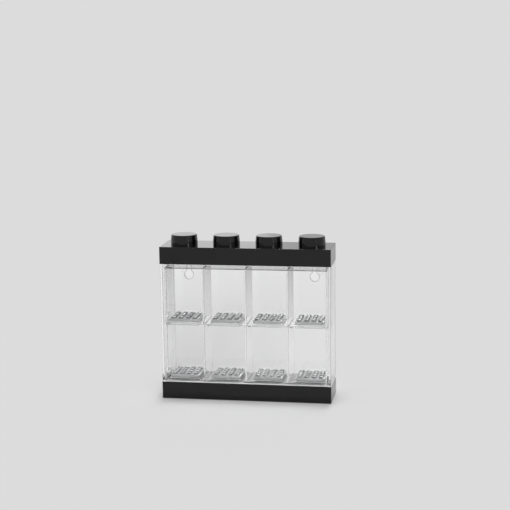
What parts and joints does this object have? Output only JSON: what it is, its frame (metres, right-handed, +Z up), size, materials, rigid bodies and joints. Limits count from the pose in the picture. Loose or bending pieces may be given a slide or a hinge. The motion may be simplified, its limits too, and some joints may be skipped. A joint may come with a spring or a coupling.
{
  "type": "minifigure display case",
  "caption": "Stackable clear display case with a studded black lid, a base with sockets, a clear cover that slides up, and cells with stud plates for small figures.",
  "frame": {"origin": "middle of the underside, where the case stands", "axes": "+X to the right along the row of studs, +Y from the sliding cover to the back panel, +Z up"},
  "size_m": [0.191, 0.047, 0.184],
  "materials": {
    "black_plastic": "glossy moulded black",
    "clear_plastic": "glossy and clear",
    "grey_translucent_plastic": "glossy translucent grey"
  },
  "bodies": {
    "case": {"base": "black_plastic", "back_panel": "clear_plastic", "side_panel_left": "clear_plastic", "side_panel_right": "clear_plastic", "lower_shelf": "clear_plastic", "upper_shelf": "clear_plastic", "top_panel": "clear_plastic", "divider_1": "clear_plastic", "divider_2": "clear_plastic", "divider_3": "clear_plastic"},
    "cover": {"front_cover": "clear_plastic"},
    "lid": {"lid": "black_plastic"},
    "plate_lower_1": {"stud_plate_lower_1": "grey_translucent_plastic"},
    "plate_lower_2": {"stud_plate_lower_2": "grey_translucent_plastic"},
    "plate_lower_3": {"stud_plate_lower_3": "grey_translucent_plastic"},
    "plate_lower_4": {"stud_plate_lower_4": "grey_translucent_plastic"},
    "plate_upper_1": {"stud_plate_upper_1": "grey_translucent_plastic"},
    "plate_upper_2": {"stud_plate_upper_2": "grey_translucent_plastic"},
    "plate_upper_3": {"stud_plate_upper_3": "grey_translucent_plastic"},
    "plate_upper_4": {"stud_plate_upper_4": "grey_translucent_plastic"}
  },
  "joints": [
    {"name": "cover_slide", "type": "slide", "parent": "case", "child": "cover", "axis": [0, 0, 1], "range_m": [0, 0.145]},
    {"name": "lid_lift", "type": "slide", "parent": "cover", "child": "lid", "axis": [0, 0, 1], "range_m": [0, 0.05]},
    {"name": "plate_lower_1_lift", "type": "slide", "parent": "case", "child": "plate_lower_1", "axis": [0, 0, 1], "range_m": [0, 0.055]},
    {"name": "plate_lower_2_lift", "type": "slide", "parent": "case", "child": "plate_lower_2", "axis": [0, 0, 1], "range_m": [0, 0.055]},
    {"name": "plate_lower_3_lift", "type": "slide", "parent": "case", "child": "plate_lower_3", "axis": [0, 0, 1], "range_m": [0, 0.055]},
    {"name": "plate_lower_4_lift", "type": "slide", "parent": "case", "child": "plate_lower_4", "axis": [0, 0, 1], "range_m": [0, 0.055]},
    {"name": "plate_upper_1_lift", "type": "slide", "parent": "case", "child": "plate_upper_1", "axis": [0, 0, 1], "range_m": [0, 0.055]},
    {"name": "plate_upper_2_lift", "type": "slide", "parent": "case", "child": "plate_upper_2", "axis": [0, 0, 1], "range_m": [0, 0.055]},
    {"name": "plate_upper_3_lift", "type": "slide", "parent": "case", "child": "plate_upper_3", "axis": [0, 0, 1], "range_m": [0, 0.055]},
    {"name": "plate_upper_4_lift", "type": "slide", "parent": "case", "child": "plate_upper_4", "axis": [0, 0, 1], "range_m": [0, 0.055]}
  ]
}
